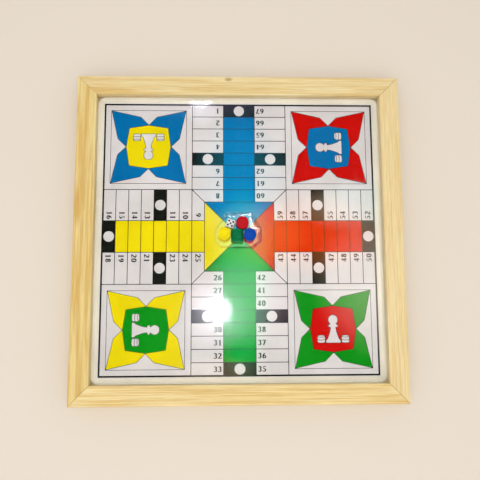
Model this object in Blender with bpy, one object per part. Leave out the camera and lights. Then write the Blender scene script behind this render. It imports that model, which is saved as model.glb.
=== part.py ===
"""Parchis board under glass in a square pine frame, with its counters and die in an open film pouch.

Metres, +Z up. The origin is the middle of the frame's underside. +X runs to the right of the player
who reads the board upright, and +Y runs to the far side.
"""

import math

import bmesh
import bpy
from mathutils import Matrix, Vector

# Gap left between pieces that touch or rest on each other
GAP = 0.0003

# Frame: four mitred pine rails with a rebate under an inner lip
FRAME_SIDE = 0.400
RAIL_WIDTH = 0.024
RAIL_HEIGHT = 0.022
LIP_THICKNESS = 0.010
REBATE_WIDTH = 0.008
OUTER_EASING = 0.0016
INNER_EASING = 0.0010
FOOT_CHAMFER = 0.0006
EASING_STEPS = 3

# Glass, printed card and backing board, laid up under the lip
EDGE_PLAY = 0.0010
GLASS_THICKNESS = 0.0020
GLASS_ARRIS = 0.0003
CARD_THICKNESS = 0.0010
CARD_UNDER_LIP = 0.0010
CARD_CORNER_RADIUS = 0.0120
CARD_CORNER_STEPS = 8
BACKING_THICKNESS = 0.0030

# Brads driven into the rebate wall, which hold the backing board
BRAD_DIAMETER = 0.0014
BRAD_LENGTH = 0.0140
BRAD_HEAD_DIAMETER = 0.0022
BRAD_HEAD_THICKNESS = 0.0006
BRAD_IN_WOOD = 0.0080
BRAD_SIDES = 8
BRAD_PLACE_SHARES = (-0.48, 0.48)

# V nails pressed across each mitre from below
NAIL_LEG = 0.0040
NAIL_STEEL = 0.0005
NAIL_HEIGHT = 0.0080
NAIL_SUNK = 0.0005
NAIL_WALL = 0.0013
NAIL_PLACE_SHARES = (0.42, 1.0)

# Counters, four of each colour
COUNTER_DIAMETER = 0.0150
COUNTER_THICKNESS = 0.0035
COUNTER_EDGE = 0.0005
COUNTER_RIM = 0.0022
COUNTER_DISH = 0.0005
COUNTER_SIDES = 24
COUNTERS_PER_COLOUR = 4

# Die
DIE_EDGE = 0.0100
DIE_ROUNDING = 0.0011
DIE_ROUNDING_STEPS = 2
DIE_TURN = math.radians(-19.0)
PIP_DIAMETER = 0.0017
PIP_DEPTH = 0.0004
PIP_SIDES = 10
PIP_FLOOR_SHARE = 0.6
PIP_PLACE_SHARE = 0.255

# The heap: where the lying green stack's middle is, and how loosely the rest lies against it
HEAP_X = -0.0030
HEAP_Y = -0.0006
PIECE_PLAY = 0.0005
RED_ALONG_SHARE = 0.43
BLUE_ALONG_SHARE = 0.06
YELLOW_ALONG_SHARE = 0.13

# Open pouch of clear film round the heap
FILM_THICKNESS = 0.0003
POUCH_MARGIN = 0.0030
POUCH_NEAR_MARGIN = 0.0050
POUCH_DEPTH = 0.0090
POUCH_FLARE_SHARE = 1.17
POUCH_FRONT_LEFT_SHARES = (0.12, 0.19)
POUCH_FRONT_RIGHT_SHARES = (0.15, 0.18)
POUCH_BACK_RIGHT_SHARES = (0.19, 0.41)
POUCH_BACK_LEFT_SHARES = (0.28, 0.44)

# How far a cutter runs past the face that it opens
OVERRUN = 0.0010

# What follows from the sizes above
QUARTER_TURN = math.radians(90.0)
HALF_SIDE = FRAME_SIDE / 2
HALF_OPENING = HALF_SIDE - RAIL_WIDTH
HALF_REBATE = HALF_OPENING + REBATE_WIDTH
RAIL_FOOT_WIDTH = RAIL_WIDTH - REBATE_WIDTH
LIP_UNDERSIDE = RAIL_HEIGHT - LIP_THICKNESS
GLASS_TOP = LIP_UNDERSIDE - GAP
GLASS_BOTTOM = GLASS_TOP - GLASS_THICKNESS
CARD_TOP = GLASS_BOTTOM - GAP
CARD_BOTTOM = CARD_TOP - CARD_THICKNESS
BACKING_TOP = CARD_BOTTOM - GAP
BACKING_BOTTOM = BACKING_TOP - BACKING_THICKNESS
HALF_PANE = HALF_REBATE - EDGE_PLAY
HALF_CARD = HALF_OPENING + CARD_UNDER_LIP
BRAD_Z = BACKING_BOTTOM - GAP - BRAD_HEAD_DIAMETER / 2
POUCH_BOTTOM = GLASS_TOP + GAP
HEAP_BOTTOM = POUCH_BOTTOM + FILM_THICKNESS + GAP
COUNTER_RADIUS = COUNTER_DIAMETER / 2
COUNTER_STEP = COUNTER_THICKNESS + GAP
STACK_LENGTH = COUNTERS_PER_COLOUR * COUNTER_STEP - GAP
COLUMN_STEP = COUNTER_DIAMETER + PIECE_PLAY


def make_material(name, colour, roughness, metallic=0.0, transmission=0.0, ior=1.45):
    """A plain Principled material in one colour."""
    material = bpy.data.materials.new(name)
    material.use_nodes = True
    shader = material.node_tree.nodes["Principled BSDF"]
    shader.inputs["Base Color"].default_value = (*colour, 1.0)
    shader.inputs["Roughness"].default_value = roughness
    shader.inputs["Metallic"].default_value = metallic
    shader.inputs["Transmission Weight"].default_value = transmission
    shader.inputs["IOR"].default_value = ior
    return material


def add_object(name, mesh, material, parent=None):
    """Puts a mesh in the scene under its name, in its own material."""
    if not mesh.materials:
        mesh.materials.append(material)
    piece = bpy.data.objects.new(name, mesh)
    bpy.context.collection.objects.link(piece)
    piece.parent = parent
    return piece


def add_empty(name, location, parent=None):
    """An empty that carries a group of pieces."""
    empty = bpy.data.objects.new(name, None)
    empty.location = location
    empty.parent = parent
    bpy.context.collection.objects.link(empty)
    return empty


def finish_mesh(name, bm, smooth_below=None):
    """Turns the built shape into a mesh, with curved stretches shaded smooth."""
    bmesh.ops.recalc_face_normals(bm, faces=bm.faces)
    mesh = bpy.data.meshes.new(name)
    bm.to_mesh(mesh)
    bm.free()
    if smooth_below is not None:
        mesh.shade_smooth()
        mesh.set_sharp_from_angle(angle=smooth_below)
    return mesh


def arc(centre, radius, start, end, steps):
    """Points on an arc, both ends included."""
    angles = [start + (end - start) * i / steps for i in range(steps + 1)]
    return [(centre[0] + radius * math.cos(a), centre[1] + radius * math.sin(a)) for a in angles]


def extrude_outline(bm, outline, low, high, place=None):
    """Adds a closed prism with this outline between two heights."""
    base = bm.faces.new([bm.verts.new((x, y, low)) for x, y in outline])
    grown = bmesh.ops.extrude_face_region(bm, geom=[base])["geom"]
    top = [v for v in grown if isinstance(v, bmesh.types.BMVert)]
    bmesh.ops.translate(bm, verts=top, vec=(0, 0, high - low))
    if place is not None:
        bmesh.ops.transform(bm, matrix=place, verts=list(base.verts) + top)


def turn_profile(profile, sides):
    """Spins a profile of radius and height, from axis to axis, into a closed round body."""
    bm = bmesh.new()
    points = [bm.verts.new((r, 0, z)) for r, z in profile]
    edges = [bm.edges.new(pair) for pair in zip(points, points[1:])]
    bmesh.ops.spin(
        bm,
        geom=points + edges,
        cent=(0, 0, 0),
        axis=(0, 0, 1),
        angle=4 * QUARTER_TURN,
        steps=sides,
        use_merge=True,
    )
    bmesh.ops.remove_doubles(bm, verts=bm.verts, dist=GAP / 100)
    return bm


def rectangle(half_width, half_depth):
    """Corners of a rectangle about the origin, anticlockwise."""
    return [
        (-half_width, -half_depth),
        (half_width, -half_depth),
        (half_width, half_depth),
        (-half_width, half_depth),
    ]


def add_cutter(name, bm):
    """A hidden body that only cuts other pieces."""
    cutter = bpy.data.objects.new(name, finish_mesh(name, bm))
    bpy.context.collection.objects.link(cutter)
    cutter.hide_render = True
    cutter.display_type = "WIRE"
    return cutter


def cut(piece, cutter):
    """Cuts one body out of a piece."""
    modifier = piece.modifiers.new("cut " + cutter.name, "BOOLEAN")
    modifier.operation = "DIFFERENCE"
    modifier.solver = "EXACT"
    modifier.object = cutter


def rail_profile():
    """A rail's section: distance in from the outer face, and height. Its top edges are eased."""
    outer = arc(
        (OUTER_EASING, RAIL_HEIGHT - OUTER_EASING),
        OUTER_EASING,
        2 * QUARTER_TURN,
        QUARTER_TURN,
        EASING_STEPS,
    )
    inner = arc(
        (RAIL_WIDTH - INNER_EASING, RAIL_HEIGHT - INNER_EASING),
        INNER_EASING,
        QUARTER_TURN,
        0,
        EASING_STEPS,
    )
    foot = [
        (RAIL_WIDTH, LIP_UNDERSIDE),
        (RAIL_FOOT_WIDTH, LIP_UNDERSIDE),
        (RAIL_FOOT_WIDTH, 0),
        (FOOT_CHAMFER, 0),
        (0, FOOT_CHAMFER),
    ]
    return outer + inner + foot


def rail_mesh():
    """The near rail. Each end is mitred, half a gap short of the corner's diagonal."""
    setback = GAP / math.sqrt(2)
    profile = rail_profile()
    bm = bmesh.new()
    left = [bm.verts.new((-HALF_SIDE + u + setback, -HALF_SIDE + u, z)) for u, z in profile]
    end = bm.faces.new(left)
    grown = bmesh.ops.extrude_face_region(bm, geom=[end])["geom"]
    for vert in grown:
        if isinstance(vert, bmesh.types.BMVert):
            vert.co.x = -vert.co.x
    return finish_mesh("rail", bm)


def nail_outline(clearance):
    """A V nail's plan with its apex at the origin, or with a clearance that of its slot."""
    half = NAIL_STEEL / 2 + clearance
    reach = NAIL_LEG + clearance
    return [
        (half, half),
        (-reach, half),
        (-reach, -half),
        (-half, -half),
        (-half, -reach),
        (half, -reach),
    ]


def nail_places():
    """Where each V nail goes: its apex on the mitre, and one leg in each rail."""
    room = RAIL_FOOT_WIDTH - NAIL_WALL - NAIL_LEG
    insets = [HALF_SIDE - share * room for share in NAIL_PLACE_SHARES]
    corners = [Matrix.Rotation(corner * QUARTER_TURN, 4, "Z") for corner in range(4)]
    return [corner @ Matrix.Translation((inset, inset, 0)) for corner in corners for inset in insets]


def brad_places():
    """Where each brad goes: turned from pointing down to point outwards, level in its rail."""
    outwards = Matrix.Rotation(-QUARTER_TURN, 4, "X")
    places = []
    for side in range(4):
        turn = Matrix.Rotation(side * QUARTER_TURN, 4, "Z")
        for share in BRAD_PLACE_SHARES:
            point = (share * HALF_OPENING, -HALF_REBATE - BRAD_IN_WOOD, BRAD_Z)
            places.append(turn @ Matrix.Translation(point) @ outwards)
    return places


def nail_slots():
    """The slots for the V nails, as one cutter."""
    bm = bmesh.new()
    for place in nail_places():
        extrude_outline(bm, nail_outline(GAP), -OVERRUN, NAIL_SUNK + NAIL_HEIGHT + GAP, place)
    return add_cutter("nail slots", bm)


def brad_holes():
    """The holes that the brads sit in, as one cutter."""
    bm = bmesh.new()
    radius = BRAD_DIAMETER / 2 + GAP
    length = BRAD_IN_WOOD + GAP + OVERRUN
    middle = Matrix.Translation((0, 0, length / 2 - GAP))
    for place in brad_places():
        bmesh.ops.create_cone(
            bm,
            cap_ends=True,
            segments=BRAD_SIDES,
            radius1=radius,
            radius2=radius,
            depth=length,
            matrix=place @ middle,
        )
    return add_cutter("brad holes", bm)


def nail_mesh():
    """One V nail, sunk a little into the underside."""
    bm = bmesh.new()
    extrude_outline(bm, nail_outline(0), NAIL_SUNK, NAIL_SUNK + NAIL_HEIGHT)
    return finish_mesh("v nail", bm)


def brad_mesh():
    """One brad, its point at the origin and its small head at the end that is left showing."""
    shank = BRAD_DIAMETER / 2
    head = BRAD_HEAD_DIAMETER / 2
    neck = BRAD_LENGTH - BRAD_HEAD_THICKNESS
    profile = [
        (0, 0),
        (shank / 2, 0),
        (shank, shank),
        (shank, neck),
        (head, neck),
        (head, BRAD_LENGTH),
        (0, BRAD_LENGTH),
    ]
    return finish_mesh("brad", turn_profile(profile, BRAD_SIDES), QUARTER_TURN / 2)


def add_fasteners(name, mesh, places, steel):
    """One object for each fastener, all from the same mesh."""
    for number, place in enumerate(places, 1):
        fastener = add_object(f"{name}_{number}", mesh, steel)
        fastener.matrix_local = place


def build_frame():
    """Four rails round the stack, with the nails that join them and the brads that hold the back."""
    pine = make_material("pine", (0.78, 0.58, 0.30), 0.55)
    steel = make_material("steel", (0.55, 0.55, 0.56), 0.35, metallic=1.0)
    slots = nail_slots()
    holes = brad_holes()
    mesh = rail_mesh()
    for turn, name in enumerate(("rail_front", "rail_right", "rail_back", "rail_left")):
        rail = add_object(name, mesh, pine)
        rail.rotation_euler.z = turn * QUARTER_TURN
        cut(rail, slots)
        cut(rail, holes)
    add_fasteners("corner_nail", nail_mesh(), nail_places(), steel)
    add_fasteners("backing_brad", brad_mesh(), brad_places(), steel)


def sheet_mesh(name, outline, low, high):
    """A flat sheet between two heights."""
    bm = bmesh.new()
    extrude_outline(bm, outline, low, high)
    return finish_mesh(name, bm)


def card_outline():
    """The card's outline, a square with rounded corners."""
    centre = HALF_CARD - CARD_CORNER_RADIUS
    outline = []
    for turn, (sx, sy) in enumerate(((1, 1), (-1, 1), (-1, -1), (1, -1))):
        start = turn * QUARTER_TURN
        corner = (sx * centre, sy * centre)
        outline += arc(corner, CARD_CORNER_RADIUS, start, start + QUARTER_TURN, CARD_CORNER_STEPS)
    return outline


def build_layup():
    """Glass, printed card and backing board, from the top down."""
    glass = make_material("glass", (0.95, 0.98, 0.96), 0.03, transmission=1.0, ior=1.52)
    paper = make_material("printed card", (0.86, 0.83, 0.78), 0.6)
    board = make_material("backing board", (0.50, 0.34, 0.18), 0.75)
    pane = rectangle(HALF_PANE, HALF_PANE)
    pane_object = add_object("glass_pane", sheet_mesh("glass pane", pane, GLASS_BOTTOM, GLASS_TOP), glass)
    arris = pane_object.modifiers.new("arris", "BEVEL")
    arris.width = GLASS_ARRIS
    arris.segments = 1
    add_object("printed_card", sheet_mesh("printed card", card_outline(), CARD_BOTTOM, CARD_TOP), paper)
    add_object("backing_board", sheet_mesh("backing board", pane, BACKING_BOTTOM, BACKING_TOP), board)


def counter_mesh(name):
    """A round counter about its middle, with broken edges and a shallow dish in its top."""
    top = COUNTER_THICKNESS / 2
    dish = COUNTER_RADIUS - COUNTER_RIM
    profile = [
        (0, -top),
        (COUNTER_RADIUS - COUNTER_EDGE, -top),
        (COUNTER_RADIUS, -top + COUNTER_EDGE),
        (COUNTER_RADIUS, top - COUNTER_EDGE),
        (COUNTER_RADIUS - COUNTER_EDGE, top),
        (dish, top),
        (dish - COUNTER_DISH, top - COUNTER_DISH),
        (0, top - COUNTER_DISH),
    ]
    return finish_mesh(name, turn_profile(profile, COUNTER_SIDES), QUARTER_TURN / 3)


def add_stack(colour_name, colour, place, pouch, lying=False):
    """Four counters of one colour, upright on each other or side by side on their rims."""
    stack = add_empty(colour_name + "_stack", place, pouch)
    plastic = make_material(colour_name + " plastic", colour, 0.3)
    mesh = counter_mesh(colour_name + " counter")
    for number in range(COUNTERS_PER_COLOUR):
        counter = add_object(f"{colour_name}_counter_{number + 1}", mesh, plastic, stack)
        along = COUNTER_THICKNESS / 2 + number * COUNTER_STEP
        if lying:
            counter.rotation_euler.x = QUARTER_TURN
            counter.location = (0, along - STACK_LENGTH / 2, COUNTER_RADIUS)
        else:
            counter.location = (0, 0, along)


def pip_places():
    """Each face's pips: the turn that brings the face up, and the pips' places on it in steps."""
    corners = [(-1, -1), (1, 1), (-1, 1), (1, -1)]
    sides = [(-1, 0), (1, 0)]
    middle = [(0, 0)]
    return [
        (Matrix.Identity(3), corners + middle),
        (Matrix.Rotation(QUARTER_TURN, 3, "X"), corners + sides),
        (Matrix.Rotation(-QUARTER_TURN, 3, "X"), middle),
        (Matrix.Rotation(QUARTER_TURN, 3, "Y"), corners[:2] + middle),
        (Matrix.Rotation(-QUARTER_TURN, 3, "Y"), corners),
        (Matrix.Rotation(2 * QUARTER_TURN, 3, "X"), corners[:2]),
    ]


def add_die(place, pouch):
    """A white die with rounded edges, five up, and a dimple for each pip."""
    white = make_material("white plastic", (0.85, 0.85, 0.83), 0.3)
    bm = bmesh.new()
    bmesh.ops.create_cube(bm, size=DIE_EDGE)
    bmesh.ops.bevel(
        bm,
        geom=list(bm.edges),
        offset=DIE_ROUNDING,
        segments=DIE_ROUNDING_STEPS,
        profile=0.5,
        affect="EDGES",
    )
    die = add_object("die", finish_mesh("die", bm, QUARTER_TURN / 2), white, pouch)
    die.location = place
    die.rotation_euler.z = DIE_TURN
    pips = bmesh.new()
    pip_step = PIP_PLACE_SHARE * DIE_EDGE
    depth = PIP_DEPTH + OVERRUN
    spread = PIP_DIAMETER / 2 * (1 - PIP_FLOOR_SHARE) / PIP_DEPTH
    mouth = PIP_DIAMETER / 2 + spread * OVERRUN
    for turn, steps in pip_places():
        for across, along in steps:
            centre = Vector((across * pip_step, along * pip_step, DIE_EDGE / 2 + OVERRUN - depth / 2))
            bmesh.ops.create_cone(
                pips,
                cap_ends=True,
                segments=PIP_SIDES,
                radius1=PIP_DIAMETER / 2 * PIP_FLOOR_SHARE,
                radius2=mouth,
                depth=depth,
                matrix=turn.to_4x4() @ Matrix.Translation(centre),
            )
    cutter = add_cutter("die pips", pips)
    cutter.parent = pouch
    cutter.location = place
    cutter.rotation_euler.z = DIE_TURN
    cut(die, cutter)


def heap_places():
    """Plan places of the stacks and the die, each laid against its neighbours."""
    die_reach = DIE_EDGE / 2 * (math.cos(DIE_TURN) + abs(math.sin(DIE_TURN)))
    green = Vector((HEAP_X, HEAP_Y))
    blue = green + Vector((COLUMN_STEP, BLUE_ALONG_SHARE * COUNTER_DIAMETER))
    yellow = green + Vector((-COLUMN_STEP, YELLOW_ALONG_SHARE * COUNTER_DIAMETER))
    red_along = RED_ALONG_SHARE * COUNTER_DIAMETER
    past_green = STACK_LENGTH / 2 + PIECE_PLAY + COUNTER_RADIUS
    past_blue = blue.y - green.y + math.sqrt(COLUMN_STEP**2 - (COLUMN_STEP - red_along) ** 2)
    red = green + Vector((red_along, max(past_green, past_blue)))
    die_x = red.x - COUNTER_RADIUS - PIECE_PLAY - die_reach
    die_y = green.y + STACK_LENGTH / 2 + PIECE_PLAY + die_reach
    clear_of_yellow = COUNTER_RADIUS + PIECE_PLAY + DIE_EDGE / math.sqrt(2)
    sideways = die_x - yellow.x
    past_yellow = yellow.y + math.sqrt(max(clear_of_yellow**2 - sideways**2, 0))
    die = Vector((die_x, max(die_y, past_yellow)))
    return green, blue, yellow, red, die, die_reach


def pouch_outline():
    """The pouch's floor: a rectangle round the heap, less a slanted cut at each corner."""
    green, blue, yellow, red, die, die_reach = heap_places()
    left = yellow.x - COUNTER_RADIUS - POUCH_MARGIN
    right = blue.x + COUNTER_RADIUS + POUCH_MARGIN
    nearest = min(green.y - STACK_LENGTH / 2, blue.y - COUNTER_RADIUS, yellow.y - COUNTER_RADIUS)
    near = nearest - POUCH_NEAR_MARGIN
    far = max(red.y + COUNTER_RADIUS, die.y + die_reach) + POUCH_MARGIN
    width = right - left
    depth = far - near
    outline = []
    corners = (
        ((left, near), (1, 1), POUCH_FRONT_LEFT_SHARES),
        ((right, near), (-1, 1), POUCH_FRONT_RIGHT_SHARES),
        ((right, far), (-1, -1), POUCH_BACK_RIGHT_SHARES),
        ((left, far), (1, -1), POUCH_BACK_LEFT_SHARES),
    )
    for (x, y), (inward_x, inward_y), (share_x, share_y) in corners:
        along_x = (x + inward_x * share_x * width, y)
        along_y = (x, y + inward_y * share_y * depth)
        outline += [along_y, along_x] if inward_x == inward_y else [along_x, along_y]
    return outline


def add_pouch():
    """The film pouch, mouth up: a flat floor and walls that flare out to an open rim."""
    film = make_material("clear film", (0.97, 0.98, 1.0), 0.12, transmission=1.0, ior=1.5)
    outline = pouch_outline()
    middle = sum((Vector(p) for p in outline), Vector((0, 0))) / len(outline)
    pouch = add_empty("pouch_lift", (middle.x, middle.y, POUCH_BOTTOM))
    bm = bmesh.new()
    floor = bm.faces.new([bm.verts.new((x - middle.x, y - middle.y, 0)) for x, y in outline])
    rim = bmesh.ops.extrude_edge_only(bm, edges=list(floor.edges))["geom"]
    for vert in rim:
        if isinstance(vert, bmesh.types.BMVert):
            vert.co = (vert.co.x * POUCH_FLARE_SHARE, vert.co.y * POUCH_FLARE_SHARE, POUCH_DEPTH)
    bmesh.ops.recalc_face_normals(bm, faces=bm.faces)
    if floor.normal.z > 0:
        bmesh.ops.reverse_faces(bm, faces=bm.faces)
    mesh = bpy.data.meshes.new("film pouch")
    bm.to_mesh(mesh)
    bm.free()
    piece = add_object("film_pouch", mesh, film, pouch)
    wall = piece.modifiers.new("film", "SOLIDIFY")
    wall.thickness = FILM_THICKNESS
    wall.offset = -1
    wall.use_even_offset = True
    return pouch, middle


def build_heap():
    """The pouch with the die and the four stacks in it."""
    pouch, middle = add_pouch()
    green, blue, yellow, red, die, _ = heap_places()
    up = HEAP_BOTTOM - POUCH_BOTTOM

    def inside(place, height=up):
        return (place.x - middle.x, place.y - middle.y, height)

    add_stack("green", (0.02, 0.30, 0.12), inside(green), pouch, lying=True)
    add_stack("blue", (0.02, 0.12, 0.55), inside(blue), pouch)
    add_stack("yellow", (0.85, 0.68, 0.02), inside(yellow), pouch)
    add_stack("red", (0.62, 0.02, 0.04), inside(red), pouch)
    add_die(inside(die, up + DIE_EDGE / 2), pouch)


for old in list(bpy.data.objects):
    bpy.data.objects.remove(old, do_unlink=True)
build_frame()
build_layup()
build_heap()
bpy.context.view_layer.update()
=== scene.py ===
"""Looks of a parchis board under glass, with its counters and die in an open film bag.

The sections follow the object as it is put together: pine rails, nails, glass, printed card,
backing board, brads, film bag, counters and die. The floor, the light and the camera come last.
Metres, +Z up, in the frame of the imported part.
"""

import math

import bmesh
import bpy
from mathutils import Matrix, Vector, noise


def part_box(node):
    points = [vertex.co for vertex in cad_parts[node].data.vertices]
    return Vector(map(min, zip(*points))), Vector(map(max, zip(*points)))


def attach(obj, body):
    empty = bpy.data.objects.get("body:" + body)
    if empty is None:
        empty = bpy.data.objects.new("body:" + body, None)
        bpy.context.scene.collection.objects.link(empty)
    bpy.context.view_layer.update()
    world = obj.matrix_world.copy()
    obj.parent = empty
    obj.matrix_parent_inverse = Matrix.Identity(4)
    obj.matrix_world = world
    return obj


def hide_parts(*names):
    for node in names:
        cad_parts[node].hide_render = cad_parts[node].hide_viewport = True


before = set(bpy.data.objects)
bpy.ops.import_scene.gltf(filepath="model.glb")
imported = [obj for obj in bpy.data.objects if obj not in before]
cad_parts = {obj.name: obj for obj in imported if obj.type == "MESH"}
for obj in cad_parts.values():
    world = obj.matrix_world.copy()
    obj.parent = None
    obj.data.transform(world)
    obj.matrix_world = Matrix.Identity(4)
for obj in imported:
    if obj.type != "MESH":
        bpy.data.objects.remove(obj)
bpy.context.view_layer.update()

# Rails
# Four rails of planed pine moulding, mitred at the corners and given a thin coat of satin varnish.
# The grain runs along each rail, so that it turns a right angle at every mitre.

PINE_EARLY = (0.80, 0.60, 0.30)
PINE_LATE = (0.56, 0.32, 0.09)
PINE_GOLD = (0.67, 0.43, 0.13)
RING_WIDTH = 0.0017
PITH_ASIDE = 0.016
PITH_BELOW = 0.034
RING_WANDER = 0.022
RAIL_SHIFT = 0.61
DARK_PATCH_SHARE = 0.7
PINE_RELIEF = 0.00012
GROUP_OUTPUTS = [("Colour", "Color"), ("Roughness", "Float"), ("Height", "Float")]


def add_node(tree, kind, inputs=None, **settings):
    """Adds a shader node. Each of its inputs is given a value, or the socket that feeds it."""
    node = tree.nodes.new("ShaderNode" + kind)
    for name, value in settings.items():
        setattr(node, name, value)
    for name, value in (inputs or {}).items():
        if isinstance(value, bpy.types.NodeSocket):
            tree.links.new(value, node.inputs[name])
        else:
            node.inputs[name].default_value = value
    return node


def calculate(tree, operation, *values):
    """One step of arithmetic on values or sockets."""
    inputs = dict(enumerate(values))
    return add_node(tree, "Math", inputs, operation=operation).outputs[0]


def map_range(tree, value, low, high, to_low, to_high):
    """Eases a value from one range to another."""
    ends = {"From Min": low, "From Max": high, "To Min": to_low, "To Max": to_high}
    inputs = {"Value": value, **ends}
    return add_node(tree, "MapRange", inputs, interpolation_type="SMOOTHSTEP").outputs["Result"]


def mix_colours(tree, share, first, second, blend="MIX"):
    """Lays the second colour over the first."""
    node = add_node(tree, "Mix", data_type="RGBA", blend_type=blend)
    for index, value in ((0, share), (6, first), (7, second)):
        if isinstance(value, bpy.types.NodeSocket):
            tree.links.new(value, node.inputs[index])
        elif index:
            node.inputs[index].default_value = (*value, 1.0)
        else:
            node.inputs[index].default_value = value
    return node.outputs[2]


def shaded(tree, colour, tone):
    """A colour made lighter or darker by a tone round 1."""
    grey = add_node(tree, "CombineXYZ", {"X": tone, "Y": tone, "Z": tone}).outputs["Vector"]
    return mix_colours(tree, 1.0, colour, grey, "MULTIPLY")


def noise_on(tree, vector, stretch, detail=2.0, roughness=0.5):
    """Cloudy noise, with so many cells to a metre along each axis."""
    scaled = add_node(tree, "VectorMath", {0: vector, 1: stretch}, operation="MULTIPLY")
    inputs = {"Vector": scaled.outputs[0], "Scale": 1.0, "Detail": detail, "Roughness": roughness}
    return add_node(tree, "TexNoise", inputs).outputs["Fac"]


def new_group(name, inputs):
    """An empty node group for a surface: a place, its own named inputs and the shared outputs."""
    group = bpy.data.node_groups.new(name, "ShaderNodeTree")
    sockets = group.interface
    sockets.new_socket("Vector", in_out="INPUT", socket_type="NodeSocketVector")
    for label, kind, value in inputs:
        socket = sockets.new_socket(label, in_out="INPUT", socket_type="NodeSocket" + kind)
        socket.default_value = value
    for label, kind in GROUP_OUTPUTS:
        sockets.new_socket(label, in_out="OUTPUT", socket_type="NodeSocket" + kind)
    given = group.nodes.new("NodeGroupInput").outputs
    return group, given, group.nodes.new("NodeGroupOutput").inputs


def fill_outputs(group, sinks, **sources):
    """Joins the finished sockets to a group's outputs."""
    for label, source in sources.items():
        group.links.new(source, sinks[label])


def place_group(tree, group, **inputs):
    """Puts a node group in a material and returns its outputs."""
    node = tree.nodes.new("ShaderNodeGroup")
    node.node_tree = group
    for label, value in inputs.items():
        label = label.replace("_", " ")
        if isinstance(value, bpy.types.NodeSocket):
            tree.links.new(value, node.inputs[label])
        else:
            node.inputs[label].default_value = value
    return node.outputs


def new_material(name, **values):
    """A material with its Principled shader. The values are those that are the same all over."""
    material = bpy.data.materials.new(name)
    material.use_nodes = True
    shader = material.node_tree.nodes["Principled BSDF"]
    for label, value in values.items():
        shader.inputs[label.replace("_", " ")].default_value = value
    return material, material.node_tree, shader.inputs


def object_place(tree):
    """The place on the piece, in metres."""
    return add_node(tree, "TexCoord").outputs["Object"]


def add_relief(shader, tree, height, relief):
    """Raises fine detail on the surface, as a bump of so many metres."""
    bump = add_node(tree, "Bump", {"Height": height, "Distance": relief, "Strength": 1.0})
    tree.links.new(bump.outputs["Normal"], shader["Normal"])


def dress(shader, tree, made, relief):
    """Feeds a group's colour, roughness and height to the shader."""
    tree.links.new(made["Colour"], shader["Base Color"])
    tree.links.new(made["Roughness"], shader["Roughness"])
    add_relief(shader, tree, made["Height"], relief)


def finish_node(name, material):
    """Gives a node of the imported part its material."""
    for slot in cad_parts[name].material_slots:
        slot.material = material


def make_pine_group():
    """Flat-sawn pine along X: ring lines, fibres, slow tone changes, a knot and painted shade."""
    group, given, sinks = new_group(
        "Pine grain",
        [
            ("Early Wood", "Color", (*PINE_EARLY, 1)),
            ("Late Wood", "Color", (*PINE_LATE, 1)),
            ("Gold Wood", "Color", (*PINE_GOLD, 1)),
            ("Dark Patch Wood", "Color", (*PINE_LATE, 1)),
            ("Dark Patch", "Float", 0.0),
            ("Contrast", "Float", 1.0),
        ],
    )
    vector = given["Vector"]
    sway = noise_on(group, vector, (5.0, 26.0, 26.0), detail=1.5)
    wander = calculate(group, "MULTIPLY", calculate(group, "SUBTRACT", sway, 0.5), RING_WANDER)
    split = add_node(group, "SeparateXYZ", {"Vector": vector}).outputs
    aside = calculate(group, "ADD", calculate(group, "ADD", split["Y"], PITH_ASIDE), wander)
    below = calculate(group, "ADD", split["Z"], PITH_BELOW)
    aside_squared = calculate(group, "MULTIPLY", aside, aside)
    below_squared = calculate(group, "MULTIPLY", below, below)
    across = calculate(group, "SQRT", calculate(group, "ADD", aside_squared, below_squared))
    ring = calculate(group, "FRACT", calculate(group, "DIVIDE", across, RING_WIDTH))
    rise = map_range(group, ring, 0.25, 0.90, 0.0, 1.0)
    fall = map_range(group, ring, 0.90, 1.0, 1.0, 0.0)
    strength = map_range(group, noise_on(group, vector, (9.0, 190.0, 190.0)), 0.38, 0.68, 0.0, 0.62)
    strength = calculate(group, "MULTIPLY", strength, given["Contrast"])
    late = calculate(group, "MULTIPLY", calculate(group, "MULTIPLY", rise, fall), strength)
    streak = noise_on(group, vector, (8.0, 360.0, 360.0), detail=3.0, roughness=0.65)
    cloud = noise_on(group, vector, (9.0, 55.0, 55.0), detail=2.5, roughness=0.6)
    streaked = map_range(group, streak, 0.42, 0.62, 0.0, 0.80)
    clouded = map_range(group, cloud, 0.42, 0.66, 0.0, 0.35)
    gold = calculate(group, "ADD", streaked, clouded)
    gold = calculate(group, "MULTIPLY", gold, given["Contrast"])
    ground = mix_colours(group, gold, given["Early Wood"], given["Gold Wood"])
    banded = mix_colours(group, late, ground, given["Late Wood"])
    banded = mix_colours(group, given["Dark Patch"], banded, given["Dark Patch Wood"])
    fibre = noise_on(group, vector, (45.0, 1500.0, 1500.0), detail=3.0, roughness=0.6)
    tone = map_range(group, fibre, 0.25, 0.75, 0.88, 1.06)
    fill_outputs(
        group,
        sinks,
        Colour=shaded(group, banded, tone),
        Roughness=map_range(group, fibre, 0.2, 0.8, 0.50, 0.34),
        Height=calculate(group, "SUBTRACT", fibre, calculate(group, "MULTIPLY", late, 0.5)),
    )
    return group


def soft_spot(tree, vector, middle, reach):
    """One at a point, and easing to nothing over its reach along each axis."""
    aside = add_node(tree, "VectorMath", {0: vector, 1: middle}, operation="SUBTRACT").outputs[0]
    shares = add_node(tree, "VectorMath", {0: aside, 1: reach}, operation="DIVIDE").outputs[0]
    off = add_node(tree, "VectorMath", {0: shares}, operation="LENGTH").outputs["Value"]
    return map_range(tree, off, 1.0, 0.3, 0.0, 1.0)


pine_grain = make_pine_group()
# Each rail's early wood, the turn of its grain and its contrast. The early wood differs from rail
# to rail, partly the wood's own tone and partly painted light for how brightly each side is lit.
pine_tones = {
    "rail_front": ((0.86, 0.69, 0.36), 0.0, 0.75),
    "rail_right": ((0.82, 0.66, 0.37), 90.0, 0.45),
    "rail_back": ((0.82, 0.67, 0.37), 180.0, 0.70),
    "rail_left": ((0.80, 0.64, 0.29), 270.0, 1.00),
}
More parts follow.
